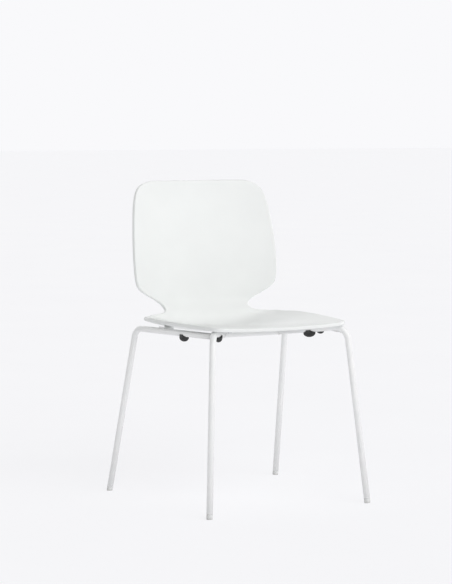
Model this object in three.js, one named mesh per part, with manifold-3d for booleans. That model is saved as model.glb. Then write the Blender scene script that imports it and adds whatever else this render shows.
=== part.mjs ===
// A stacking chair: one moulded seat and back shell on a bent steel tube frame.
// Millimetres, +Z up, the chair faces -Y, and left means the sitter's left (+X).

import * as THREE from 'three';
import { mergeVertices } from 'three/addons/utils/BufferGeometryUtils.js';
import Module from 'manifold-3d';

const wasm = await Module();
wasm.setup();

// Driving dimensions.
const GAP = 0.3;
const DEPTH_CENTRE = -0.16;
const TUBE_RADIUS = 8;
const TUBE_WALL = 1.5;
const TUBE_SEGMENTS = 7;
const BEND_STEP = Math.PI / 16;

const FRONT_FOOT = new THREE.Vector3(232.7, -248.6, 0);
const FRONT_CORNER = new THREE.Vector3(196.6, -202.5, 452.7);
const CROSS_CORNER = new THREE.Vector3(68.7, -35, 430.7);
const FRONT_BEND_RADIUS = 35;
const CROSS_BEND_RADIUS = 35;
const CROSS_STUB = 6;

const REAR_FOOT = new THREE.Vector3(257, 248.6, 0);
const REAR_CORNER = new THREE.Vector3(228.2, 148.8, 439.2);
const REAR_BEND_RADIUS = 30;
const RAIL_WELD = 0.6;

const SHELL_THICKNESS = 10.5;
const SHELL_COLUMNS = 16;
const ROWS_PER_RIB = 2;

const GLIDE_HEIGHT = 13;
const GLIDE_SPIGOT_LENGTH = 20;
const GLIDE_CROWN = 2.2;
const GLIDE_EDGE_WIDTH = 3;
const GLIDE_EDGE_HEIGHT = 3.6;
const GLIDE_DISH = 0.6;
const GLIDE_TAPER = 2;
const FLOOR_BLOCK = 60;

const BUMPER_LENGTH = 33;
const BUMPER_WIDTH = 19;
const BUMPER_DROP = 12.5;
const BUMPER_BROADEST = 2;
const BUMPER_EAR_LENGTH = 13;
const BUMPER_EAR_TOP = -2;
const BUMPER_PLUG_RADIUS = 3;
const PLUG_HOLE_MARGIN = 2;
const PLUG_SIDES = 12;
const SADDLE_SIDES = 32;
const SIDE_BUMPER_Y = -66;
const FRONT_BUMPER_Y = -121;

const TAB_THICKNESS = 3;
const TAB_WIDTH = 26;
const SCREW_RADIUS = 2.9;
const SCREW_HEAD_RADIUS = 5.8;
const SCREW_HEAD_HEIGHT = 3.4;
const SCREW_CROWN_RADIUS = 4.2;
const SCREW_SHOULDER_RADIUS = 5.3;
const SCREW_SHOULDER_HEIGHT = 0.6;
const SCREW_RIM_HEIGHT = 1.8;
const SCREW_POINT = 1;
const SCREW_SOCKET_RADIUS = 2.3;
const SCREW_SOCKET_DEPTH = 2;
const SCREW_HOLE_RADIUS = 3.3;
const WASHER_RADIUS = 7.5;
const WASHER_THICKNESS = 1.2;
const BOSS_RADIUS = 12;
const BOSS_SIDES = 28;
const INSERT_RADIUS = 4.6;
const INSERT_LENGTH = 8;
const SOCKET_MARGIN = 1;
const FITTING_SIDES = 20;
const SIDE_MOUNT = { x: 192, y: 30, boss: 5, reach: 22.5 };
const FRONT_MOUNT = { x: 86, y: -93, boss: 2.6, reach: 24 };

// Ribs of the shell from the front lip to the top of the back: the middle of the upper face
// (y, z), how far the face has moved (y, z) at the full half width, and the rib's half width.
const FULL_HALF_WIDTH = 220;
const RIBS = [
  { middle: [-222.5, 461], sag: [0, 8], half: 105 },
  { middle: [-221, 462], sag: [0, 7.5], half: 140 },
  { middle: [-217, 463.3], sag: [0, 6], half: 168 },
  { middle: [-208.5, 464.6], sag: [0, 4.2], half: 186 },
  { middle: [-195, 465.2], sag: [0, 3.8], half: 195 },
  { middle: [-172, 465.3], sag: [0, 4], half: 201 },
  { middle: [-140, 463.8], sag: [0, 6], half: 206.5 },
  { middle: [-95, 459.8], sag: [0, 10], half: 215 },
  { middle: [-28, 451.8], sag: [0, 18.5], half: 222 },
  { middle: [30, 444.2], sag: [0, 26], half: 224 },
  { middle: [80, 437.8], sag: [0, 33], half: 221.5 },
  { middle: [115, 434.6], sag: [2, 38], half: 212 },
  { middle: [139, 437.2], sag: [3, 37.5], half: 205 },
  { middle: [156, 445], sag: [2, 30.4], half: 198 },
  { middle: [166, 455], sag: [-5, 21.3], half: 181 },
  { middle: [172, 465.5], sag: [-15, 10.4], half: 158 },
  { middle: [178, 475.5], sag: [-25, 4], half: 131 },
  { middle: [186.5, 487.5], sag: [-27, 1], half: 126.5 },
  { middle: [193, 500], sag: [-25, -1], half: 138.5 },
  { middle: [196.2, 521], sag: [-29, -1], half: 178.5 },
  { middle: [198.8, 540], sag: [-31.3, -0.5], half: 204.5 },
  { middle: [200.9, 556], sag: [-32.5, 0], half: 211.3 },
  { middle: [203.4, 576], sag: [-33, 0], half: 214 },
  { middle: [206.8, 607], sag: [-33, 0], half: 215 },
  { middle: [212.7, 650], sag: [-33, 0], half: 214 },
  { middle: [220.4, 700], sag: [-33, 0], half: 210 },
  { middle: [229, 750], sag: [-33, 0], half: 203.8 },
  { middle: [235.3, 783], sag: [-33, 0], half: 195.5 },
  { middle: [238.6, 799], sag: [-33, 0], half: 186.5 },
  { middle: [241, 810], sag: [-33, 0], half: 174 },
  { middle: [242.7, 817], sag: [-33, 0], half: 157 },
  { middle: [243.5, 820], sag: [-33, 0], half: 138 },
];

// Materials.
const materials = {
  shell: { color: 0xeceae6, roughness: 0.55, metalness: 0 },
  frame: { color: 0xe6e6e4, roughness: 0.4, metalness: 0.1 },
  rubber: { color: 0x17191a, roughness: 0.75, metalness: 0 },
  glide: { color: 0xdadbda, roughness: 0.6, metalness: 0 },
  zinc: { color: 0xb9bcc0, roughness: 0.35, metalness: 0.9 },
  brass: { color: 0xc09a4a, roughness: 0.4, metalness: 0.9 },
};

function namedMesh(name, geometry, slot) {
  const mesh = new THREE.Mesh(geometry, new THREE.MeshStandardMaterial(materials[slot]));
  mesh.name = name;
  return mesh;
}

// Solids: a closed geometry to a manifold and back.
function toSolid(geometry) {
  const bare = geometry.clone();
  bare.deleteAttribute('normal');
  bare.deleteAttribute('uv');
  const merged = mergeVertices(bare, 1e-3);
  return new wasm.Manifold(new wasm.Mesh({
    numProp: 3,
    vertProperties: Float32Array.from(merged.attributes.position.array),
    triVerts: Uint32Array.from(merged.index.array),
  }));
}

function toGeometry(solid) {
  const mesh = solid.getMesh();
  const geometry = new THREE.BufferGeometry();
  geometry.setAttribute('position', new THREE.BufferAttribute(mesh.vertProperties, 3));
  geometry.setIndex(new THREE.BufferAttribute(mesh.triVerts, 1));
  geometry.computeVertexNormals();
  return geometry;
}

// A cylinder along local Z between two heights.
function rod(radius, low, high, segments = FITTING_SIDES) {
  const geometry = new THREE.CylinderGeometry(radius, radius, high - low, segments);
  return geometry.rotateX(Math.PI / 2).translate(0, 0, (low + high) / 2);
}

function ring(inner, outer, low, high) {
  const profile = [[inner, low], [outer, low], [outer, high], [inner, high], [inner, low]];
  return turned(profile);
}

// A solid of revolution around local Z from [radius, height] pairs.
function turned(profile, segments = FITTING_SIDES) {
  const points = profile.map(([radius, height]) => new THREE.Vector2(radius, height));
  return new THREE.LatheGeometry(points, segments).rotateX(Math.PI / 2);
}

function mirrored(point) {
  return new THREE.Vector3(-point.x, point.y, point.z);
}

// Tubes: straight runs joined by round bends.
class StationLine extends THREE.Curve {
  constructor(stations) {
    super();
    this.stations = stations;
  }

  getUtoTmapping(u) {
    return u;
  }

  getPoint(t, target = new THREE.Vector3()) {
    const last = this.stations.length - 2;
    const place = t * (last + 1);
    const index = Math.min(Math.floor(place), last);
    return target.lerpVectors(this.stations[index], this.stations[index + 1], place - index);
  }
}

function bend(before, corner, after, radius) {
  const back = before.clone().sub(corner).normalize();
  const ahead = after.clone().sub(corner).normalize();
  const turn = Math.PI - back.angleTo(ahead);
  const setback = radius * Math.tan(turn / 2);
  const inside = back.clone().add(ahead).normalize();
  const centre = corner.clone().addScaledVector(inside, radius / Math.cos(turn / 2));
  const start = corner.clone().addScaledVector(back, setback).sub(centre);
  const end = corner.clone().addScaledVector(ahead, setback).sub(centre);
  const axis = start.clone().cross(end).normalize();
  const steps = Math.ceil(turn / BEND_STEP);
  const pointAt = (share) => start.clone().applyAxisAngle(axis, turn * share).add(centre);
  return { pointAt, stations: Array.from({ length: steps + 1 }, (_, k) => pointAt(k / steps)) };
}

function tube(stations, outer, inner) {
  const section = new THREE.Shape().absarc(0, 0, outer, 0, 2 * Math.PI);
  if (inner > 0) {
    section.holes.push(new THREE.Path().absarc(0, 0, inner, 0, 2 * Math.PI, true));
  }
  const extrudePath = new StationLine(stations);
  return toSolid(new THREE.ExtrudeGeometry(section, {
    steps: stations.length - 1,
    curveSegments: TUBE_SEGMENTS,
    extrudePath,
  }));
}

function hollowTube(stations) {
  return tube(stations, TUBE_RADIUS, TUBE_RADIUS - TUBE_WALL);
}

// The space that a tube takes with its working gap, for cutting its neighbours.
function tubeSpace(stations) {
  return tube(stations, TUBE_RADIUS + GAP, 0);
}

function pointAlong(from, to, distance) {
  return from.clone().addScaledVector(to.clone().sub(from).normalize(), distance);
}

// Centre lines of one side's tubes, for the side where x is positive.
const frontBend = bend(FRONT_FOOT, FRONT_CORNER, CROSS_CORNER, FRONT_BEND_RADIUS);
const crossBend = bend(FRONT_CORNER, CROSS_CORNER, mirrored(CROSS_CORNER), CROSS_BEND_RADIUS);
const railEnd = frontBend.pointAt(RAIL_WELD);
const rearBend = bend(REAR_FOOT, REAR_CORNER, railEnd, REAR_BEND_RADIUS);
const crossEnd = pointAlong(crossBend.stations[0], FRONT_CORNER, CROSS_STUB);
const armEnd = pointAlong(crossEnd, FRONT_CORNER, GAP);

const frontLine = [
  pointAlong(FRONT_FOOT, FRONT_CORNER, GLIDE_HEIGHT),
  ...frontBend.stations,
  armEnd,
];
const rearLine = [
  pointAlong(REAR_FOOT, REAR_CORNER, GLIDE_HEIGHT),
  ...rearBend.stations,
  railEnd,
];
const crossLine = [
  crossEnd,
  ...crossBend.stations,
  ...crossBend.stations.map(mirrored).reverse(),
  mirrored(crossEnd),
];

function sided(stations, side) {
  return side > 0 ? stations : stations.map(mirrored);
}

// The shell: ribs joined by smooth curves, then given its thickness.
const middleCurve = new THREE.CatmullRomCurve3(
  RIBS.map(({ middle: [y, z] }) => new THREE.Vector3(0, y, z)),
);
const sagCurve = new THREE.CatmullRomCurve3(
  RIBS.map(({ sag: [y, z] }) => new THREE.Vector3(0, y, z)),
);
const halfWidthCurve = new THREE.SplineCurve(
  RIBS.map(({ half }, rib) => new THREE.Vector2(rib, half)),
);

function halfWidth(along) {
  return halfWidthCurve.getPoint(along).y;
}

function upperPoint(along, x) {
  const point = middleCurve.getPoint(along);
  point.addScaledVector(sagCurve.getPoint(along), (x / FULL_HALF_WIDTH) ** 2);
  point.x = x;
  return point;
}

function upperNormal(along, x) {
  const step = 1e-3;
  const low = Math.max(along - step, 0);
  const high = Math.min(along + step, 1);
  const lengthwise = upperPoint(high, x).sub(upperPoint(low, x));
  const crosswise = upperPoint(along, x + 1).sub(upperPoint(along, x - 1));
  return crosswise.cross(lengthwise).normalize();
}

function lowerPoint(along, x) {
  return upperPoint(along, x).addScaledVector(upperNormal(along, x), -SHELL_THICKNESS);
}

function shellSheet() {
  const rows = (RIBS.length - 1) * ROWS_PER_RIB;
  const columns = SHELL_COLUMNS;
  const positions = [];
  for (const face of [upperPoint, lowerPoint]) {
    for (let row = 0; row <= rows; row += 1) {
      for (let column = 0; column <= columns; column += 1) {
        const along = row / rows;
        const x = halfWidth(along) * (2 * column / columns - 1);
        positions.push(...face(along, x).toArray());
      }
    }
  }
  const index = [];
  const upper = (row, column) => row * (columns + 1) + column;
  const lower = (row, column) => (rows + 1) * (columns + 1) + upper(row, column);
  const quad = (a, b, c, d) => index.push(a, b, c, a, c, d);
  for (let row = 0; row < rows; row += 1) {
    for (let column = 0; column < columns; column += 1) {
      quad(upper(row, column), upper(row, column + 1),
        upper(row + 1, column + 1), upper(row + 1, column));
      quad(lower(row, column), lower(row + 1, column),
        lower(row + 1, column + 1), lower(row, column + 1));
    }
    quad(upper(row, 0), upper(row + 1, 0), lower(row + 1, 0), lower(row, 0));
    quad(upper(row, columns), lower(row, columns),
      lower(row + 1, columns), upper(row + 1, columns));
  }
  for (let column = 0; column < columns; column += 1) {
    quad(upper(0, column), lower(0, column), lower(0, column + 1), upper(0, column + 1));
    quad(upper(rows, column), upper(rows, column + 1),
      lower(rows, column + 1), lower(rows, column));
  }
  const geometry = new THREE.BufferGeometry();
  geometry.setAttribute('position', new THREE.Float32BufferAttribute(positions, 3));
  geometry.setIndex(index);
  return geometry;
}

// Where a mount meets the shell's underside: local Z is the shell's normal, pointing up,
// and local X points along the tab towards its tube.
function mountFrame({ x, y }, side, towards) {
  let along = 0;
  let step = 0.25;
  while (step > 1e-6) {
    if (upperPoint(along + step, x).y < y) {
      along += step;
    }
    step /= 2;
  }
  const up = upperNormal(along, side * x);
  const origin = lowerPoint(along, side * x);
  const heading = towards.clone().sub(origin);
  const alongTab = heading.addScaledVector(up, -heading.dot(up)).normalize();
  const sideways = up.clone().cross(alongTab);
  return new THREE.Matrix4().makeBasis(alongTab, sideways, up).setPosition(origin);
}

function placed(geometry, frame) {
  return toSolid(geometry.applyMatrix4(frame));
}

function nearestOnLine(point, from, to) {
  return new THREE.Line3(from, to).closestPointToPoint(point, true, new THREE.Vector3());
}

const mounts = [];
for (const [sideName, side] of [['left', 1], ['right', -1]]) {
  for (const [placeName, mount, line] of [
    ['rear', SIDE_MOUNT, [REAR_CORNER, railEnd]],
    ['front', FRONT_MOUNT, [FRONT_CORNER, CROSS_CORNER]],
  ]) {
    const here = new THREE.Vector3(mount.x, mount.y, line[1].z);
    const onTube = nearestOnLine(here, line[0], line[1]);
    const towards = side > 0 ? onTube : mirrored(onTube);
    mounts.push({ name: `${placeName}_${sideName}`, mount, frame: mountFrame(mount, side, towards) });
  }
}

function buildShell() {
  let solid = toSolid(shellSheet());
  for (const { mount, frame } of mounts) {
    const boss = rod(BOSS_RADIUS, -mount.boss, SHELL_THICKNESS / 2, BOSS_SIDES);
    const socketTop = INSERT_LENGTH - mount.boss + SOCKET_MARGIN;
    const socket = rod(INSERT_RADIUS + GAP, -mount.boss - SOCKET_MARGIN, socketTop);
    solid = solid.add(placed(boss, frame)).subtract(placed(socket, frame));
  }
  return namedMesh('seat_shell', toGeometry(solid), 'shell');
}

// The four stacking bumpers, each in a frame with local Z up and local Y along its tube.
function bumperFrame(from, to, y) {
  const share = (y - from.y) / (to.y - from.y);
  const origin = from.clone().lerp(to, share);
  const along = to.clone().sub(from).normalize();
  const level = along.clone().cross(new THREE.Vector3(0, 0, 1)).normalize();
  const up = level.clone().cross(along);
  return new THREE.Matrix4().makeBasis(level, along, up).setPosition(origin);
}

function bumperFrames(side) {
  const [railFrom, railTo] = sided([REAR_CORNER, railEnd], side);
  const [armFrom, armTo] = sided([FRONT_CORNER, CROSS_CORNER], side);
  return {
    side: bumperFrame(railFrom, railTo, SIDE_BUMPER_Y),
    front: bumperFrame(armFrom, armTo, FRONT_BUMPER_Y),
  };
}

function plug(radius, margin) {
  return rod(radius, -TUBE_RADIUS - margin, -TUBE_RADIUS / 2, PLUG_SIDES);
}

function plugHole(frame) {
  return placed(plug(BUMPER_PLUG_RADIUS + GAP, PLUG_HOLE_MARGIN), frame);
}

// A rounded foot below the tube, with an ear on each side that hugs it.
function bumperBody() {
  const middle = -TUBE_RADIUS - BUMPER_BROADEST;
  const foot = new THREE.SphereGeometry(1, 24, 14)
    .rotateX(Math.PI / 2)
    .scale(BUMPER_WIDTH / 2, BUMPER_LENGTH / 2, BUMPER_DROP - BUMPER_BROADEST)
    .translate(0, 0, middle);
  const ears = new THREE.BoxGeometry(BUMPER_WIDTH, BUMPER_EAR_LENGTH, BUMPER_EAR_TOP - middle)
    .translate(0, 0, (BUMPER_EAR_TOP + middle) / 2);
  return toSolid(foot).add(toSolid(ears));
}

function buildBumper(name, frame) {
  const tubeHere = rod(TUBE_RADIUS + GAP, -BUMPER_LENGTH, BUMPER_LENGTH, SADDLE_SIDES)
    .rotateX(Math.PI / 2);
  const solid = bumperBody()
    .subtract(toSolid(tubeHere))
    .add(toSolid(plug(BUMPER_PLUG_RADIUS, BUMPER_BROADEST)));
  const mesh = namedMesh(name, toGeometry(solid), 'rubber');
  mesh.applyMatrix4(frame);
  return mesh;
}

// Plastic glides plugged into the feet, flat where they stand on the floor.
function buildGlide(name, foot, corner) {
  const up = corner.clone().sub(foot).normalize();
  const turn = new THREE.Quaternion().setFromUnitVectors(new THREE.Vector3(0, 0, 1), up);
  const frame = new THREE.Matrix4().compose(foot, turn, new THREE.Vector3(1, 1, 1));
  const shoulder = GLIDE_HEIGHT - GAP;
  const spigot = TUBE_RADIUS - TUBE_WALL - GAP;
  const top = shoulder + GLIDE_SPIGOT_LENGTH;
  const profile = [[0, -GLIDE_CROWN]];
  for (let k = 1; k <= 4; k += 1) {
    const angle = k * Math.PI / 8;
    profile.push([
      TUBE_RADIUS - GLIDE_EDGE_WIDTH * (1 - Math.sin(angle)),
      GLIDE_DISH - GLIDE_CROWN + GLIDE_EDGE_HEIGHT * (1 - Math.cos(angle)),
    ]);
  }
  profile.push([TUBE_RADIUS, shoulder], [spigot, shoulder], [spigot, top - GLIDE_TAPER]);
  profile.push([spigot - GLIDE_TAPER, top], [0, top]);
  const floor = new THREE.BoxGeometry(FLOOR_BLOCK, FLOOR_BLOCK, FLOOR_BLOCK)
    .translate(foot.x, foot.y, -FLOOR_BLOCK / 2);
  const solid = placed(turned(profile), frame).subtract(toSolid(floor));
  return namedMesh(name, toGeometry(solid), 'glide');
}

// Screwed mounts between the frame and the shell.
function buildTab(name, mount, frame, tubeLine) {
  const top = -mount.boss - GAP;
  const outline = new THREE.Shape();
  outline.moveTo(0, -TAB_WIDTH / 2);
  outline.lineTo(mount.reach, -TAB_WIDTH / 2);
  outline.lineTo(mount.reach, TAB_WIDTH / 2);
  outline.lineTo(0, TAB_WIDTH / 2);
  outline.absarc(0, 0, TAB_WIDTH / 2, Math.PI / 2, 3 * Math.PI / 2);
  outline.holes.push(new THREE.Path().absarc(0, 0, SCREW_HOLE_RADIUS, 0, 2 * Math.PI, true));
  const plate = new THREE.ExtrudeGeometry(outline, {
    depth: TAB_THICKNESS,
    bevelEnabled: false,
    curveSegments: 10,
  }).translate(0, 0, top - TAB_THICKNESS);
  const solid = placed(plate, frame).subtract(tubeSpace(tubeLine));
  return namedMesh(name, toGeometry(solid), 'frame');
}

function buildInsert(name, mount) {
  const low = -mount.boss;
  return namedMesh(name, ring(SCREW_RADIUS + GAP, INSERT_RADIUS, low, low + INSERT_LENGTH), 'brass');
}

function washerTop(mount) {
  return -mount.boss - TAB_THICKNESS - 2 * GAP;
}

function buildWasher(name, mount) {
  const high = washerTop(mount);
  const washer = ring(SCREW_RADIUS + GAP, WASHER_RADIUS, high - WASHER_THICKNESS, high);
  return namedMesh(name, washer, 'zinc');
}

function buildScrew(name, mount) {
  const seat = washerTop(mount) - WASHER_THICKNESS - GAP;
  const tip = -mount.boss + INSERT_LENGTH - SOCKET_MARGIN;
  const bottom = seat - SCREW_HEAD_HEIGHT;
  const profile = [
    [0, bottom],
    [SCREW_CROWN_RADIUS, bottom],
    [SCREW_SHOULDER_RADIUS, bottom + SCREW_SHOULDER_HEIGHT],
    [SCREW_HEAD_RADIUS, bottom + SCREW_RIM_HEIGHT],
    [SCREW_HEAD_RADIUS, seat],
    [SCREW_RADIUS, seat],
    [SCREW_RADIUS, tip - SCREW_POINT],
    [SCREW_RADIUS - SCREW_POINT, tip],
    [0, tip],
  ];
  const socket = rod(SCREW_SOCKET_RADIUS, bottom - 1, bottom + SCREW_SOCKET_DEPTH, 6);
  const solid = toSolid(turned(profile)).subtract(toSolid(socket));
  return namedMesh(name, toGeometry(solid), 'zinc');
}

function mountGroup(name, mount, frame) {
  const group = new THREE.Group();
  group.add(buildInsert(`insert_${name}`, mount));
  group.add(buildWasher(`washer_${name}`, mount));
  group.add(buildScrew(`screw_${name}`, mount));
  group.applyMatrix4(frame);
  return group;
}

const chair = new THREE.Group();
chair.position.y = -DEPTH_CENTRE;
chair.add(buildShell());
chair.add(namedMesh('cross_tube', toGeometry(hollowTube(crossLine)), 'frame'));

for (const [sideName, side] of [['left', 1], ['right', -1]]) {
  const front = sided(frontLine, side);
  const rear = sided(rearLine, side);
  const bumpers = bumperFrames(side);
  const frontTube = hollowTube(front).subtract(plugHole(bumpers.front));
  const rearTube = hollowTube(rear).subtract(plugHole(bumpers.side)).subtract(tubeSpace(front));
  chair.add(namedMesh(`front_leg_${sideName}`, toGeometry(frontTube), 'frame'));
  chair.add(namedMesh(`rear_leg_${sideName}`, toGeometry(rearTube), 'frame'));
  chair.add(buildBumper(`bumper_side_${sideName}`, bumpers.side));
  chair.add(buildBumper(`bumper_front_${sideName}`, bumpers.front));
  const [frontFoot, frontCorner] = sided([FRONT_FOOT, FRONT_CORNER], side);
  const [rearFoot, rearCorner] = sided([REAR_FOOT, REAR_CORNER], side);
  chair.add(buildGlide(`glide_front_${sideName}`, frontFoot, frontCorner));
  chair.add(buildGlide(`glide_rear_${sideName}`, rearFoot, rearCorner));
}

for (const { name, mount, frame } of mounts) {
  const side = name.endsWith('left') ? 1 : -1;
  const line = sided(name.startsWith('rear') ? rearLine : frontLine, side);
  chair.add(buildTab(`tab_${name}`, mount, frame, line));
  chair.add(mountGroup(name, mount, frame));
}

export default chair;
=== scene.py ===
import math

import bpy
import numpy as np
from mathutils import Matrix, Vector


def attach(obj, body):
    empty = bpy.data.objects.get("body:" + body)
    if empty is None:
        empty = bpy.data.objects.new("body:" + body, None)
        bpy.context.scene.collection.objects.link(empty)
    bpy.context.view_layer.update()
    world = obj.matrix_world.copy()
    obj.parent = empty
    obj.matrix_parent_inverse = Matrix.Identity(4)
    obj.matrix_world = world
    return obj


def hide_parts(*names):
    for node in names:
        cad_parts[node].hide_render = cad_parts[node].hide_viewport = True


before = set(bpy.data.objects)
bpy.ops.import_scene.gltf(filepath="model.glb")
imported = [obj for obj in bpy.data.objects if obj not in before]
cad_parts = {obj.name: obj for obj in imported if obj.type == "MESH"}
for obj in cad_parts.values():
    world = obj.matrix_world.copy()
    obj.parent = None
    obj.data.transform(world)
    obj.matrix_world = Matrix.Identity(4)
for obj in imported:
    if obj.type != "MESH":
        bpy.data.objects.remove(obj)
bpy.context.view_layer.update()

# Lengths below are millimetres in the frame's own axes, and become metres where meshes are made.
# The chair's own outline is written down before the shift that centres it on y = 0.
MM = 0.001
DEPTH_SHIFT = 0.16
GAP = 0.3

# Tubes of the frame, for the sitter's left side.
TUBE_RADIUS = 8
TUBE_WALL = 1.5
TUBE_SIDES = 48
BEND_STEP = math.radians(3)
FRONT_FOOT = (232.7, -248.6, 0)
FRONT_CORNER = (196.6, -202.5, 452.7)
CROSS_CORNER = (68.7, -35, 430.7)
FRONT_BEND_RADIUS = 35
CROSS_BEND_RADIUS = 35
CROSS_STUB = 6
REAR_FOOT = (257, 248.6, 0)
REAR_CORNER = (228.2, 148.8, 439.2)
REAR_BEND_RADIUS = 30
GLIDE_HEIGHT = 13

# How far round the front bend the side rail is welded on, as a share of the bend.
RAIL_WELD_SHARE = 0.6

# A direction that no tube runs along, from which each tube's first ring is turned.
ASIDE = (0.3, 0.2, 0.9)

# The search for where a tube's end meets the tube that it is welded to.
COPE_REACH = 60.0
COPE_HALVINGS = 40

# Ribs of the shell from the front lip to the top of the back: the middle of the upper face
# (y, z), how far the face has moved (y, z) at the full half width, and the rib's half width.
FULL_HALF_WIDTH = 220
RIBS = (
    ((-222.5, 461), (0, 8), 105),
    ((-221, 462), (0, 7.5), 140),
    ((-217, 463.3), (0, 6), 168),
    ((-208.5, 464.6), (0, 4.2), 186),
    ((-195, 465.2), (0, 3.8), 195),
    ((-172, 465.3), (0, 4), 201),
    ((-140, 463.8), (0, 6), 206.5),
    ((-95, 459.8), (0, 10), 215),
    ((-28, 451.8), (0, 18.5), 222),
    ((30, 444.2), (0, 26), 224),
    ((80, 437.8), (0, 33), 221.5),
    ((115, 434.6), (2, 38), 212),
    ((139, 437.2), (3, 37.5), 205),
    ((156, 445), (2, 30.4), 198),
    ((166, 455), (-5, 21.3), 181),
    ((172, 465.5), (-15, 10.4), 158),
    ((178, 475.5), (-25, 4), 131),
    ((186.5, 487.5), (-27, 1), 126.5),
    ((193, 500), (-25, -1), 138.5),
    ((196.2, 521), (-29, -1), 178.5),
    ((198.8, 540), (-31.3, -0.5), 204.5),
    ((200.9, 556), (-32.5, 0), 211.3),
    ((203.4, 576), (-33, 0), 214),
    ((206.8, 607), (-33, 0), 215),
    ((212.7, 650), (-33, 0), 214),
    ((220.4, 700), (-33, 0), 210),
    ((229, 750), (-33, 0), 203.8),
    ((235.3, 783), (-33, 0), 195.5),
    ((238.6, 799), (-33, 0), 186.5),
    ((241, 810), (-33, 0), 174),
    ((242.7, 817), (-33, 0), 157),
    ((243.5, 820), (-33, 0), 138),
)
SHELL_THICKNESS = 10.5
SHELL_EDGE_RADIUS = 3.2
SHELL_EDGE_STEPS = 6

# The shell's mesh: a grid on each face, and a band of loops that follow the rim.
SHELL_COLUMNS = 120
SHELL_ROWS = 300
SHELL_INNER_LOOP = 5
SHELL_RIM_BAND = 7
INSET_STEP = 0.25
RIM_FADE = 70
SAMPLES_PER_RIB = 60

# Ribs that share a value are kept this far apart when a curve is drawn through them.
SHORTEST_KNOT = 1e-9

# How far curves are blurred: the shell's profile in millimetres, its rim in points.
SHELL_SMOOTHING = 4
RIM_SMOOTHING = 1.5
RIM_OVERLAP = 8
BLUR_REACH = 4

# Mounts of the shell on the frame.
BOSS_HEIGHTS = {"rear": 5, "front": 2.6}
BOSS_RADIUS = 12
BOSS_EASE = 0.8
BOSS_EASE_STEPS = 5
BOSS_FLARE = 2.2
BOSS_SUNK = 1.5
SOCKET_RADIUS = 4.9
TAB_THICKNESS = 3
TAB_WELD_REACH = 11
TAB_WELD_POINTS = 45

# Weld beads: at the rails, round the cross tube's ends, and under the tabs.
RAIL_WELD_RADIUS = 1.7
BUTT_WELD_RADIUS = 1.36
BUTT_WELD_POINTS = 96
TAB_WELD_RADIUS = 1.35
WELD_SIDES = 12
WELD_RIPPLE = 0.1
WELD_RIPPLE_LENGTH = 2.4
WELD_TIP = 0.05

# The small fittings that keep their CAD shape: the slot of each, and how far its edges are eased.
FITTINGS = {
    "glide": ("glide", 0.4),
    "bumper": ("rubber", 0.8),
    "tab": ("frame", 0.3),
    "insert": ("brass", 0.15),
    "washer": ("zinc", 0.2),
    "screw": ("zinc", 0.15),
}
EASE_SEGMENTS = 3
EASE_ANGLE = math.radians(35)

# Colours. A material is clouded between its first two. The third is a painted highlight laid on
# sharp edges, and on the glides it shows as scuffs at their foot.
COLOURS = {
    "shell_plastic": ((0.79, 0.805, 0.795), (0.82, 0.835, 0.825), (0.84, 0.855, 0.845)),
    "frame_coat": ((0.80, 0.81, 0.81), (0.84, 0.84, 0.835), (0.88, 0.88, 0.875)),
    "bumper_rubber": ((0.011, 0.012, 0.012), (0.02, 0.021, 0.021), (0.05, 0.05, 0.048)),
    "glide_plastic": ((0.62, 0.63, 0.63), (0.7, 0.7, 0.69), (0.34, 0.33, 0.31)),
    "zinc_plating": ((0.5, 0.52, 0.55), (0.68, 0.69, 0.7)),
    "brass": ((0.62, 0.43, 0.16), (0.78, 0.58, 0.27)),
    "floor_paint": ((0.235, 0.235, 0.24), (0.245, 0.245, 0.25)),
}

# The part of a noise's range that a material makes use of.
NOISE_SPAN = (0.3, 0.7)

# Studio. Each sun has the direction it shines from, its strength and its width in degrees.
# The floor glows a little, so that it is as pale as the background.
SUNS = {
    "front": ((0.1, -0.8, 0.48), 0.63, 60),
    "left": ((-0.9, 0.1, 0.45), 0.22, 80),
    "right": ((0.9, -0.2, 0.45), 0.3, 80),
    "rear": ((0.1, 0.9, 0.5), 0.28, 80),
    "overhead": ((0.1, 0.1, 1), 0.06, 80),
}
BACKGROUND = (0.947, 0.947, 0.965, 1)
FLOOR_GLOW = (0.74, 0.74, 0.755, 1)
FLOOR_REACH = 60000
CAMERA_PLACE = (-2789.4, -4784.7, 976.7)
CAMERA_TARGET = (-43.42, 0.16, 536.91)
CAMERA_LENS = 132
CAMERA_SENSOR = 36
CAMERA_FAR_END = 200000


# Meshes

def new_piece(name, verts, faces, material, replaces=()):
    """A smooth mesh piece from points in millimetres, riding on the frame's only body."""
    mesh = bpy.data.meshes.new(name)
    mesh.from_pydata((np.asarray(verts) * MM).tolist(), [], faces)
    mesh.shade_smooth()
    piece = bpy.data.objects.new(name, mesh)
    bpy.context.scene.collection.objects.link(piece)
    piece.data.materials.append(material)
    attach(piece, "root")
    if replaces:
        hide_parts(*replaces)
    return piece


def grid_faces(rows, columns, wrap_rows, wrap_columns):
    """Quads between the points of a grid that is stored row by row."""
    row = np.arange(rows if wrap_rows else rows - 1)
    column = np.arange(columns if wrap_columns else columns - 1)
    row, column = np.meshgrid(row, column, indexing="ij")
    next_row = (row + 1) % rows
    next_column = (column + 1) % columns
    corners = (
        row * columns + column,
        row * columns + next_column,
        next_row * columns + next_column,
        next_row * columns + column,
    )
    return np.stack(corners, axis=-1).reshape(-1, 4)


def unit(vectors):
    vectors = np.asarray(vectors, float)
    return vectors / np.linalg.norm(vectors, axis=-1, keepdims=True)


def distances_along(points):
    """How far along the line each of its points is."""
    steps = np.linalg.norm(np.diff(points, axis=0), axis=1)
    return np.concatenate([[0], np.cumsum(steps)])


def columns_at(wanted, known, rows):
    """The rows in between, where the known values of the rows reach the wanted ones."""
    return np.stack([np.interp(wanted, known, column) for column in rows.T], axis=-1)


def quarter_turn(steps):
    return [math.pi / 2 * k / steps for k in range(steps + 1)]


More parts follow.
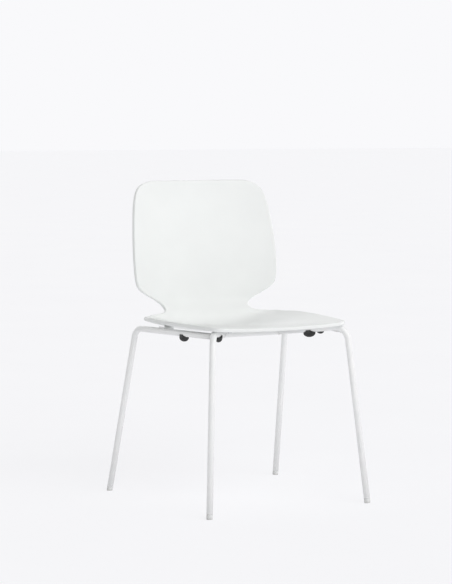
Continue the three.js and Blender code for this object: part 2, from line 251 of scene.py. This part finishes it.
def circles(across, up, sides):
    """Points of a unit circle in the plane of each pair of directions."""
    angle = np.linspace(0, 2 * math.pi, sides, endpoint=False)[:, None]
    return np.cos(angle) * across[..., None, :] + np.sin(angle) * up[..., None, :]


# Shell

def catmull_rom(points, power, per_span):
    """A curve through the points; power is 0 for even knots and 0.5 for centripetal ones."""
    points = np.asarray(points, float)
    before = 2 * points[0] - points[1]
    after = 2 * points[-1] - points[-2]
    padded = np.vstack([before, points, after])
    share = np.linspace(0, 1, per_span, endpoint=False)[:, None]
    spans = []
    for p0, p1, p2, p3 in zip(padded, padded[1:], padded[2:], padded[3:]):
        gaps = np.linalg.norm((p1 - p0, p2 - p1, p3 - p2), axis=1)
        d0, d1, d2 = np.maximum(gaps, SHORTEST_KNOT) ** power
        leaving = ((p1 - p0) / d0 - (p2 - p0) / (d0 + d1) + (p2 - p1) / d1) * d1
        arriving = ((p2 - p1) / d1 - (p3 - p1) / (d1 + d2) + (p3 - p2) / d2) * d1
        square = -3 * p1 + 3 * p2 - 2 * leaving - arriving
        cube = 2 * p1 - 2 * p2 + leaving + arriving
        spans.append(p1 + leaving * share + square * share**2 + cube * share**3)
    return np.vstack([*spans, points[-1]])


def smoothed(values, spread):
    """The rows blurred along their length, with both ends kept where they are."""
    reach = int(BLUR_REACH * spread)
    weights = np.exp(-0.5 * (np.arange(-reach, reach + 1) / spread) ** 2)
    weights /= weights.sum()
    head = 2 * values[0] - values[reach:0:-1]
    tail = 2 * values[-1] - values[-2 : -reach - 2 : -1]
    padded = np.vstack([head, values, tail])
    return np.stack([np.convolve(column, weights, mode="valid") for column in padded.T], axis=1)


class ShellSurface:
    """The shell's upper face, by the distance along its middle and by x."""

    def __init__(self):
        middle = catmull_rom([rib[0] for rib in RIBS], 0.5, SAMPLES_PER_RIB)
        sag = catmull_rom([rib[1] for rib in RIBS], 0.5, SAMPLES_PER_RIB)
        half = catmull_rom([[rib[2]] for rib in RIBS], 0, SAMPLES_PER_RIB)[:, 0]
        along = distances_along(middle)
        self.length = along[-1]
        self.stations = np.linspace(0, self.length, int(self.length) + 1)
        even = columns_at(self.stations, along, np.hstack([middle, sag]))
        self.profile = smoothed(even, SHELL_SMOOTHING)
        self.side = np.stack([along, half], axis=1)

    def point(self, place):
        along, x = place[..., 0], place[..., 1]
        profile = columns_at(along, self.stations, self.profile)
        middle, sag = profile[..., :2], profile[..., 2:]
        bow = (x / FULL_HALF_WIDTH) ** 2
        return np.concatenate([x[..., None], middle + bow[..., None] * sag], axis=-1)

    def slopes(self, place):
        """How the point moves per millimetre along and per millimetre of x."""
        lower = np.maximum(place - (1, 0), 0)
        upper = np.minimum(place + (1, 0), (self.length, np.inf))
        lower[..., 1] = place[..., 1]
        run = (upper - lower)[..., :1]
        lengthwise = (self.point(upper) - self.point(lower)) / run
        crosswise = (self.point(place + (0, 1)) - self.point(place - (0, 1))) / 2
        return lengthwise, crosswise

    def normal(self, place):
        lengthwise, crosswise = self.slopes(place)
        return unit(np.cross(crosswise, lengthwise))

    def rim(self):
        """The closed edge, counterclockwise from above, with as many points to each run as
        the shell's grid has: front edge, left side, top edge, right side."""
        front = np.linspace((0, 0), self.side[0], SAMPLES_PER_RIB)
        top = np.linspace(self.side[-1], (self.length, 0), SAMPLES_PER_RIB)
        outline = np.vstack([front[:-1], self.side, top[1:]])
        heading = np.diff(outline, axis=0)
        angle = np.arctan2(heading[:, 0], heading[:, 1])
        first_corner = np.argmax(angle > math.pi / 4)
        last_corner = len(angle) - np.argmax(angle[::-1] < 3 * math.pi / 4)
        runs = (
            (outline[: first_corner + 1], SHELL_COLUMNS // 2),
            (outline[first_corner : last_corner + 1], SHELL_ROWS),
            (outline[last_corner:], SHELL_COLUMNS // 2),
        )
        spaced = [self.spaced(run, count)[:-1] for run, count in runs]
        left_half = np.vstack([*spaced, outline[-1:]])
        right_half = left_half[-2:0:-1] * (1, -1)
        rim = np.roll(np.vstack([left_half, right_half]), SHELL_COLUMNS // 2, axis=0)
        wrapped = np.vstack([rim[-RIM_OVERLAP:], rim, rim[:RIM_OVERLAP]])
        return smoothed(wrapped, RIM_SMOOTHING)[RIM_OVERLAP:-RIM_OVERLAP]

    def spaced(self, run, count):
        """The run again, with points at equal distances on the face."""
        distance = distances_along(self.point(run))
        return columns_at(np.linspace(0, distance[-1], count + 1), distance, run)

    def step_towards(self, place, direction):
        """The step in (along, x) that leads one millimetre over the face in that direction."""
        lengthwise, crosswise = self.slopes(place)
        long_long = (lengthwise * lengthwise).sum(-1)
        long_cross = (lengthwise * crosswise).sum(-1)
        cross_cross = (crosswise * crosswise).sum(-1)
        long_way = (lengthwise * direction).sum(-1)
        cross_way = (crosswise * direction).sum(-1)
        along = long_way * cross_cross - cross_way * long_cross
        x = cross_way * long_long - long_way * long_cross
        scale = long_long * cross_cross - long_cross**2
        return np.stack([along, x], axis=-1) / scale[:, None]

    def insets(self, rim, distances):
        """The rim moved in over the face, by each of the rising distances."""
        points = self.point(rim)
        tangent = unit(np.roll(points, -1, axis=0) - np.roll(points, 1, axis=0))
        inwards = -np.cross(tangent, self.normal(rim))
        place, reached, found = rim, 0, {}
        for distance in distances:
            steps = math.ceil((distance - reached) / INSET_STEP)
            for _ in range(steps):
                place = place + self.step_towards(place, inwards) * (distance - reached) / steps
            reached = distance
            found[distance] = place
        return found


def edge_profile():
    """Steps round the shell's edge from the upper face to the lower: how far in, how deep."""
    radius = SHELL_EDGE_RADIUS
    turn = quarter_turn(SHELL_EDGE_STEPS)
    upper = [(SHELL_INNER_LOOP, 0)]
    upper += [(radius * (1 - math.sin(a)), radius * (1 - math.cos(a))) for a in turn]
    lower = [(inset, SHELL_THICKNESS - depth) for inset, depth in reversed(upper)]
    return upper + lower


def shell_grid(inner):
    """Places on the face inside the rim band, row by row; its border is the inner loop."""
    columns, rows = SHELL_COLUMNS, SHELL_ROWS
    left = inner[columns : columns + rows + 1]
    front = inner[: columns + 1]
    top = inner[columns + rows : 2 * columns + rows + 1][::-1]
    share = np.linspace(-1, 1, columns + 1)
    grid = np.stack(np.broadcast_arrays(left[:, None, 0], left[:, None, 1] * share), axis=-1)
    for edge, row in ((front, 0), (top, rows)):
        away = np.abs(left[:, 0] - left[row, 0])
        weight = np.clip(1 - away / RIM_FADE, 0, 1) ** 2
        grid = grid + weight[:, None, None] * (edge - grid[row])
    return grid


def grid_border(start):
    """The grid's border points in the rim's order, as vertex numbers."""
    columns, rows = SHELL_COLUMNS, SHELL_ROWS
    places = [(0, k) for k in range(columns)]
    places += [(k, columns) for k in range(rows)]
    places += [(rows, columns - k) for k in range(columns)]
    places += [(rows - k, 0) for k in range(rows)]
    return np.array([start + row * (columns + 1) + column for row, column in places])


def build_shell_sheet(surface):
    profile = edge_profile()
    distances = sorted({inset for inset, _ in profile} | {SHELL_RIM_BAND})
    places = surface.insets(surface.rim(), distances)
    grid = shell_grid(places[SHELL_RIM_BAND])
    upper = surface.point(grid).reshape(-1, 3)
    lower = upper - SHELL_THICKNESS * surface.normal(grid).reshape(-1, 3)
    loops = []
    for inset, depth in profile:
        place = places[inset]
        loops.append(surface.point(place) - depth * surface.normal(place))
    verts = np.vstack([upper, lower, *loops])
    face = grid_faces(SHELL_ROWS + 1, SHELL_COLUMNS + 1, False, False)
    count = len(loops[0])
    first_loop = 2 * len(upper)
    borders = [grid_border(0)]
    borders += [first_loop + k * count + np.arange(count) for k in range(len(loops))]
    borders.append(grid_border(len(upper)))
    faces = [face, face[:, ::-1] + len(upper)]
    for inner, outer in zip(borders, borders[1:]):
        faces.append(np.stack([inner, outer, np.roll(outer, -1), np.roll(inner, -1)], axis=1))
    verts[:, 1] += DEPTH_SHIFT
    return verts, np.vstack(faces).tolist()


# Tubes: straight runs joined by round bends

def bend(before, corner, after, radius):
    """Points on the round bend at a corner, and the point at any share of it."""
    before, corner, after = (np.asarray(p, float) for p in (before, corner, after))
    back = unit(before - corner)
    ahead = unit(after - corner)
    turn = math.pi - math.acos(back @ ahead)
    setback = radius * math.tan(turn / 2)
    centre = corner + unit(back + ahead) * radius / math.cos(turn / 2)
    start = corner + back * setback - centre
    sideways = unit(np.cross(np.cross(start, corner + ahead * setback - centre), start)) * radius

    def point_at(share):
        angle = turn * share
        return centre + start * math.cos(angle) + sideways * math.sin(angle)

    steps = math.ceil(turn / BEND_STEP)
    return [point_at(k / steps) for k in range(steps + 1)], point_at


def point_along(start, towards, distance):
    start = np.asarray(start, float)
    return start + unit(np.asarray(towards, float) - start) * distance


def mirrored(points):
    return np.asarray(points, float) * (-1, 1, 1)


def cross_directions(line):
    """Two directions square to the line at each point, turning no more than the line does."""
    runs = unit(np.diff(line, axis=0))
    tangents = unit(np.vstack([runs[:1], runs]) + np.vstack([runs, runs[-1:]]))
    side = unit(np.cross(tangents[0], ASIDE))
    sides = []
    for tangent in tangents:
        side = unit(side - tangent * (side @ tangent))
        sides.append(side)
    return np.array(sides), np.cross(tangents, sides)


def rings_along(line, radius, sides):
    """A circle of points round each point of the line, square to it."""
    return line[:, None] + radius * circles(*cross_directions(line), sides)


def distance_to_line(points, line):
    """How far each point is from a line of straight pieces, and the nearest point on it."""
    start, run = line[:-1], np.diff(line, axis=0)
    share = ((points[:, None] - start) * run).sum(-1) / (run * run).sum(-1)
    nearest = start + np.clip(share, 0, 1)[..., None] * run
    distance = np.linalg.norm(points[:, None] - nearest, axis=-1)
    best = distance.argmin(axis=1)
    pick = np.arange(len(points))
    return distance[pick, best], nearest[pick, best]


def coped(ring, direction, line, radius=TUBE_RADIUS):
    """Where points moving in a direction, and now past it, first meet the tube round the line."""
    near = np.full(len(ring), -COPE_REACH)
    far = np.zeros(len(ring))
    for _ in range(COPE_HALVINGS):
        middle = (near + far) / 2
        inside = distance_to_line(ring + middle[:, None] * direction, line)[0] < radius
        far = np.where(inside, middle, far)
        near = np.where(inside, near, middle)
    return ring + near[:, None] * direction


def hollow_tube(line, joined_to=None):
    """Points and quads of a tube round the line, and the outer edge of its far end. That end
    is cut square, or to the shape of the tube that it is welded to."""
    rows = []
    for radius in (TUBE_RADIUS, TUBE_RADIUS - TUBE_WALL):
        rings = rings_along(line, radius, TUBE_SIDES)
        if joined_to is not None:
            rings[-1] = coped(rings[-1], unit(line[-1] - line[-2]), joined_to)
        rows.append(rings)
    outer, inner = rows
    loop = np.concatenate([outer, inner[::-1]])
    faces = grid_faces(len(loop), TUBE_SIDES, True, True)
    return loop.reshape(-1, 3), faces.tolist(), outer[-1]


def bead(path, outward, radius, closed):
    """A rippled weld bead along a path, lying against the direction that faces outward."""
    ahead = np.roll(path, -1, axis=0) - np.roll(path, 1, axis=0)
    if not closed:
        ahead[0] = path[1] - path[0]
        ahead[-1] = path[-1] - path[-2]
    tangents = unit(ahead)
    across = unit(np.cross(tangents, outward))
    up = np.cross(tangents, across)
    travelled = distances_along(path)
    swell = 1 + WELD_RIPPLE * np.sin(travelled * 2 * math.pi / WELD_RIPPLE_LENGTH)
    if not closed:
        from_end = np.minimum(travelled, travelled[-1] - travelled)
        swell *= np.clip(from_end / radius, WELD_TIP, 1) ** 0.5
    rings = path[:, None] + radius * swell[:, None, None] * circles(across, up, WELD_SIDES)
    faces = grid_faces(len(path), WELD_SIDES, closed, True).tolist()
    if not closed:
        ring = range(WELD_SIDES)
        last_ring = (len(path) - 1) * WELD_SIDES
        faces += [list(reversed(ring)), [last_ring + k for k in ring]]
    return rings.reshape(-1, 3), faces


# Materials

class Finish:
    """A material under construction: a shader fed by noise in the object's own space."""

    def __init__(self, name, metallic=0.0):
        self.colours = COLOURS[name]
        self.material = bpy.data.materials.new(name)
        self.material.use_nodes = True
        self.nodes = self.material.node_tree.nodes
        self.links = self.material.node_tree.links
        self.shader = self.nodes["Principled BSDF"]
        self.shader.inputs["Metallic"].default_value = metallic
        self.place = self.nodes.new("ShaderNodeTexCoord").outputs["Object"]

    def noise(self, scale, detail, stretch=None):
        """Noise with about that many features to the metre."""
        place = self.place
        if stretch is not None:
            mapping = self.nodes.new("ShaderNodeMapping")
            mapping.inputs["Scale"].default_value = stretch
            self.links.new(place, mapping.inputs["Vector"])
            place = mapping.outputs["Vector"]
        node = self.nodes.new("ShaderNodeTexNoise")
        node.inputs["Scale"].default_value = scale
        node.inputs["Detail"].default_value = detail
        self.links.new(place, node.inputs["Vector"])
        return node.outputs["Fac"]

    def ranged(self, value, low, high, to_low=0.0, to_high=1.0):
        """The value from low to high, spread out to the range that is wanted."""
        node = self.nodes.new("ShaderNodeMapRange")
        node.inputs["From Min"].default_value = low
        node.inputs["From Max"].default_value = high
        node.inputs["To Min"].default_value = to_low
        node.inputs["To Max"].default_value = to_high
        self.links.new(value, node.inputs["Value"])
        return node.outputs["Result"]

    def clouds(self, scale, detail):
        return self.ranged(self.noise(scale, detail), *NOISE_SPAN)

    def product(self, first, second):
        node = self.nodes.new("ShaderNodeMath")
        node.operation = "MULTIPLY"
        self.links.new(first, node.inputs[0])
        self.links.new(second, node.inputs[1])
        return node.outputs[0]

    def mixed(self, share, first, second):
        """A colour between two, each a colour or a socket."""
        node = self.nodes.new("ShaderNodeMix")
        node.data_type = "RGBA"
        self.links.new(share, node.inputs["Factor"])
        for socket, colour in ((node.inputs[6], first), (node.inputs[7], second)):
            if isinstance(colour, tuple):
                socket.default_value = (*colour, 1)
            else:
                self.links.new(colour, socket)
        return node.outputs[2]

    def edges(self, low, high):
        """How much a spot stands out as an edge."""
        geometry = self.nodes.new("ShaderNodeNewGeometry")
        return self.ranged(geometry.outputs["Pointiness"], low, high)

    def lowness(self, top):
        """1 on the floor, falling to 0 at the height given."""
        node = self.nodes.new("ShaderNodeSeparateXYZ")
        self.links.new(self.place, node.inputs[0])
        return self.ranged(node.outputs["Z"], top * MM, 0)

    def colour(self, clouds, highlight_and_scuff_mask=None):
        """The material's clouded colour, with its third colour where the mask lays it: a painted
        highlight on sharp edges for most finishes, and scuffs on the glides.
        """
        colour = self.mixed(clouds, *self.colours[:2])
        if highlight_and_scuff_mask is not None:
            colour = self.mixed(highlight_and_scuff_mask, colour, self.colours[2])
        self.links.new(colour, self.shader.inputs["Base Color"])

    def roughness(self, noise, low, high):
        """A roughness that follows a noise from low to high."""
        self.links.new(self.ranged(noise, *NOISE_SPAN, low, high), self.shader.inputs["Roughness"])

    def bumps(self, *layers):
        """Each layer is a height socket and its depth."""
        below = None
        for height, depth in layers:
            node = self.nodes.new("ShaderNodeBump")
            node.inputs["Strength"].default_value = 1
            node.inputs["Distance"].default_value = depth * MM
            self.links.new(height, node.inputs["Height"])
            if below is not None:
                self.links.new(below, node.inputs["Normal"])
            below = node.outputs["Normal"]
        self.links.new(below, self.shader.inputs["Normal"])


def shell_plastic():
    finish = Finish("shell_plastic")
    # Sharp edges are given a lighter colour: a painted highlight.
    finish.colour(finish.clouds(scale=7, detail=3), highlight_and_scuff_mask=finish.edges(low=0.54, high=0.62))
    rubbed = finish.noise(scale=60, detail=4, stretch=(1, 0.15, 0.15))
    finish.roughness(rubbed, low=0.4, high=0.52)
    grain = finish.noise(scale=1500, detail=2)
    unevenness = finish.noise(scale=260, detail=1)
    finish.bumps((grain, 0.04), (unevenness, 0.03))
    finish.shader.inputs["Specular IOR Level"].default_value = 0.25
    return finish.material


def frame_coat():
    finish = Finish("frame_coat")
    # Sharp edges are given a lighter colour: a painted highlight.
    finish.colour(finish.clouds(scale=24, detail=3), highlight_and_scuff_mask=finish.edges(low=0.56, high=0.68))
    finish.roughness(finish.noise(scale=90, detail=3), low=0.3, high=0.42)
    orange_peel = finish.noise(scale=800, detail=2)
    grain = finish.noise(scale=3500, detail=1)
    finish.bumps((orange_peel, 0.05), (grain, 0.01))
    return finish.material


def bumper_rubber():
    finish = Finish("bumper_rubber")
    # Sharp edges are given a lighter colour: a painted highlight.
    finish.colour(finish.clouds(scale=150, detail=4), highlight_and_scuff_mask=finish.edges(low=0.53, high=0.65))
    finish.roughness(finish.noise(scale=400, detail=3), low=0.5, high=0.72)
    grain = finish.noise(scale=1800, detail=3)
    finish.bumps((grain, 0.08))
    return finish.material


def glide_plastic():
    finish = Finish("glide_plastic")
    scuffs = finish.ranged(finish.noise(scale=700, detail=5, stretch=(1, 1, 3)), 0.42, 0.6)
    scuffed = finish.product(finish.lowness(top=6), scuffs)
    finish.colour(finish.clouds(scale=120, detail=3), highlight_and_scuff_mask=scuffed)
    finish.roughness(finish.noise(scale=500, detail=3), low=0.42, high=0.62)
    grain = finish.noise(scale=1600, detail=3)
    finish.bumps((grain, 0.04))
    return finish.material


def zinc_plating():
    finish = Finish("zinc_plating", metallic=1.0)
    finish.colour(finish.clouds(scale=500, detail=4))
    finish.roughness(finish.noise(scale=1200, detail=3), low=0.25, high=0.42)
    grain = finish.noise(scale=4000, detail=2)
    finish.bumps((grain, 0.01))
    return finish.material


def brass():
    finish = Finish("brass", metallic=1.0)
    finish.colour(finish.clouds(scale=600, detail=3))
    finish.roughness(finish.noise(scale=900, detail=3), low=0.28, high=0.45)
    grain = finish.noise(scale=3000, detail=2)
    finish.bumps((grain, 0.01))
    return finish.material


finishes = {
    "shell": shell_plastic(),
    "frame": frame_coat(),
    "rubber": bumper_rubber(),
    "glide": glide_plastic(),
    "zinc": zinc_plating(),
    "brass": brass(),
}


# Frame

front_bend, on_front_bend = bend(FRONT_FOOT, FRONT_CORNER, CROSS_CORNER, FRONT_BEND_RADIUS)
cross_bend, _ = bend(FRONT_CORNER, CROSS_CORNER, mirrored(CROSS_CORNER), CROSS_BEND_RADIUS)
rail_end = on_front_bend(RAIL_WELD_SHARE)
rear_bend, _ = bend(REAR_FOOT, REAR_CORNER, rail_end, REAR_BEND_RADIUS)
cross_end = point_along(cross_bend[0], FRONT_CORNER, CROSS_STUB)
arm_end = point_along(cross_end, FRONT_CORNER, GAP)
shift = np.array((0, DEPTH_SHIFT, 0))

front_foot = point_along(FRONT_FOOT, FRONT_CORNER, GLIDE_HEIGHT)
rear_foot = point_along(REAR_FOOT, REAR_CORNER, GLIDE_HEIGHT)
front_line = np.array([front_foot, *front_bend, arm_end]) + shift
rear_line = np.array([rear_foot, *rear_bend, rail_end]) + shift
half_cross = np.array([cross_end, *cross_bend]) + shift
cross_line = np.vstack([half_cross, mirrored(half_cross)[::-1]])


def node_points(node):
    """The separate points of a CAD node's mesh."""
    points = np.array([vertex.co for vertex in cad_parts[node].data.vertices]) / MM
    return np.unique(points.round(3), axis=0)


def mount_axes(name, tube_line):
    """Where a mount's boss ends, and its axes: along its tab, across it, and into the shell."""
    insert = node_points(f"insert_{name}")
    middle = insert.mean(axis=0)
    up = unit(middle - node_points(f"screw_{name}").mean(axis=0))
    origin = middle + up * ((insert - middle) @ up).min()
    heading = distance_to_line(origin[None], tube_line)[1][0] - origin
    along = unit(heading - up * (heading @ up))
    return origin, np.stack([along, np.cross(up, along), up])


def build_boss(name, origin, axes, height):
    """The moulded boss round an insert, flared where it grows out of the shell."""
    along, across, up = axes
    top = height + BOSS_SUNK
    foot = height - BOSS_FLARE
    mouth = BOSS_EASE / 2
    outline = [(SOCKET_RADIUS, top), (SOCKET_RADIUS, mouth), (SOCKET_RADIUS + mouth, 0)]
    for angle in quarter_turn(BOSS_EASE_STEPS):
        inset = BOSS_EASE * (1 - math.sin(angle))
        outline.append((BOSS_RADIUS - inset, BOSS_EASE * (1 - math.cos(angle))))
    for angle in quarter_turn(BOSS_EASE_STEPS):
        spread = BOSS_FLARE * (1 - math.cos(angle))
        outline.append((BOSS_RADIUS + spread, foot + BOSS_FLARE * math.sin(angle)))
    outline.append((BOSS_RADIUS + BOSS_FLARE, top))
    circle = circles(along, across, TUBE_SIDES)
    verts = np.vstack([origin + radius * circle + rise * up for radius, rise in outline])
    faces = grid_faces(len(outline), TUBE_SIDES, True, True).tolist()
    new_piece(f"boss_{name}", verts, faces, finishes["shell"], ["seat_shell"])


def build_tab_welds(name, origin, axes, tube_line):
    """The two beads that hold a tab on top of its tube, in the corners under the tab."""
    along, across, up = axes
    middle = (distance_to_line(origin[None], tube_line)[1][0] - origin) @ along
    offsets = np.linspace(-TAB_WELD_REACH, TAB_WELD_REACH, TAB_WELD_POINTS)[:, None] * across
    sink = GAP + TAB_THICKNESS + TAB_WELD_RADIUS / 2
    starts = origin - sink * up + offsets + middle * along
    for place, heading in (("inner", along), ("outer", -along)):
        path = coped(starts, heading, tube_line, TUBE_RADIUS + TAB_WELD_RADIUS / 2)
        verts, faces = bead(path, unit(-up - heading), TAB_WELD_RADIUS, False)
        new_piece(f"weld_{place}_{name}", verts, faces, finishes["frame"])


def build_mounts(side_name, lines):
    for place, line in lines.items():
        name = f"{place}_{side_name}"
        origin, axes = mount_axes(name, line)
        build_boss(name, origin, axes, BOSS_HEIGHTS[place])
        build_tab_welds(name, origin, axes, line)


def build_weld_ring(name, centre, direction):
    """A butt weld round a tube."""
    line = np.array([centre - direction, centre, centre + direction])
    circle = rings_along(line, TUBE_RADIUS, BUTT_WELD_POINTS)[1]
    verts, faces = bead(circle, unit(circle - centre), BUTT_WELD_RADIUS, True)
    new_piece(name, verts, faces, finishes["frame"])


def build_side(side_name, front, rear):
    """One side's legs with their arm and rail, welds and mounts."""
    verts, faces, _ = hollow_tube(front)
    leg = f"front_leg_{side_name}"
    new_piece(f"tube_{leg}", verts, faces, finishes["frame"], [leg])
    verts, faces, seam = hollow_tube(rear, front)
    leg = f"rear_leg_{side_name}"
    new_piece(f"tube_{leg}", verts, faces, finishes["frame"], [leg])
    from_leg = seam - distance_to_line(seam, front)[1]
    rail = unit(rear[-1] - rear[-2])
    from_rail = seam - rear[-1] - ((seam - rear[-1]) @ rail)[:, None] * rail
    verts, faces = bead(seam, unit(unit(from_leg) + unit(from_rail)), RAIL_WELD_RADIUS, True)
    new_piece(f"weld_rail_{side_name}", verts, faces, finishes["frame"])
    build_weld_ring(f"weld_arm_{side_name}", front[-1], unit(front[-1] - front[-2]))
    build_mounts(side_name, {"rear": rear, "front": front})


def build_frame():
    verts, faces, _ = hollow_tube(cross_line)
    new_piece("tube_cross", verts, faces, finishes["frame"], ["cross_tube"])
    build_side("left", front_line, rear_line)
    build_side("right", mirrored(front_line), mirrored(rear_line))


def build_shell():
    verts, faces = build_shell_sheet(ShellSurface())
    new_piece("shell", verts, faces, finishes["shell"], ["seat_shell"])


def finish_cad_nodes():
    """The small fittings keep their CAD shape, with eased edges and their own materials."""
    for name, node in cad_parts.items():
        kind = name.split("_")[0]
        if kind not in FITTINGS:
            continue
        slot, ease = FITTINGS[kind]
        node.data.materials.clear()
        node.data.materials.append(finishes[slot])
        bevel = node.modifiers.new("eased_edges", "BEVEL")
        bevel.width = ease * MM
        bevel.segments = EASE_SEGMENTS
        bevel.angle_limit = EASE_ANGLE


# Studio

def build_floor():
    mesh = bpy.data.meshes.new("floor")
    reach = FLOOR_REACH * MM
    corners = [(-reach, -reach, 0), (reach, -reach, 0), (reach, reach, 0), (-reach, reach, 0)]
    mesh.from_pydata(corners, [], [(0, 1, 2, 3)])
    floor = bpy.data.objects.new("floor", mesh)
    bpy.context.scene.collection.objects.link(floor)
    finish = Finish("floor_paint")
    finish.colour(finish.clouds(scale=2, detail=3))
    finish.shader.inputs["Roughness"].default_value = 0.9
    finish.shader.inputs["Specular IOR Level"].default_value = 0
    finish.shader.inputs["Emission Color"].default_value = FLOOR_GLOW
    finish.shader.inputs["Emission Strength"].default_value = 1
    mesh.materials.append(finish.material)


def add_sun(name, direction, strength, spread):
    """A soft distant light that shines from the direction given."""
    light = bpy.data.lights.new(name, "SUN")
    light.energy = strength * math.pi
    light.angle = math.radians(spread)
    lamp = bpy.data.objects.new(name, light)
    lamp.rotation_euler = Vector(direction).to_track_quat("Z", "Y").to_euler()
    bpy.context.scene.collection.objects.link(lamp)


def build_studio():
    build_floor()
    for name, (direction, strength, spread) in SUNS.items():
        add_sun(name, direction, strength, spread)
    world = bpy.data.worlds.new("studio")
    world.use_nodes = True
    background = world.node_tree.nodes["Background"]
    background.inputs["Color"].default_value = BACKGROUND
    background.inputs["Strength"].default_value = 1
    world.cycles_visibility.diffuse = False
    bpy.context.scene.world = world
    bpy.context.scene.view_settings.view_transform = "Standard"


def add_camera():
    camera = bpy.data.cameras.new("camera")
    camera.sensor_width = CAMERA_SENSOR
    camera.lens = CAMERA_LENS
    camera.clip_end = CAMERA_FAR_END * MM
    eye = bpy.data.objects.new("camera", camera)
    bpy.context.scene.collection.objects.link(eye)
    place = Vector(CAMERA_PLACE) * MM
    target = Vector(CAMERA_TARGET) * MM
    eye.location = place
    eye.rotation_euler = (target - place).to_track_quat("-Z", "Y").to_euler()
    bpy.context.scene.camera = eye


build_shell()
build_frame()
finish_cad_nodes()
build_studio()
add_camera()
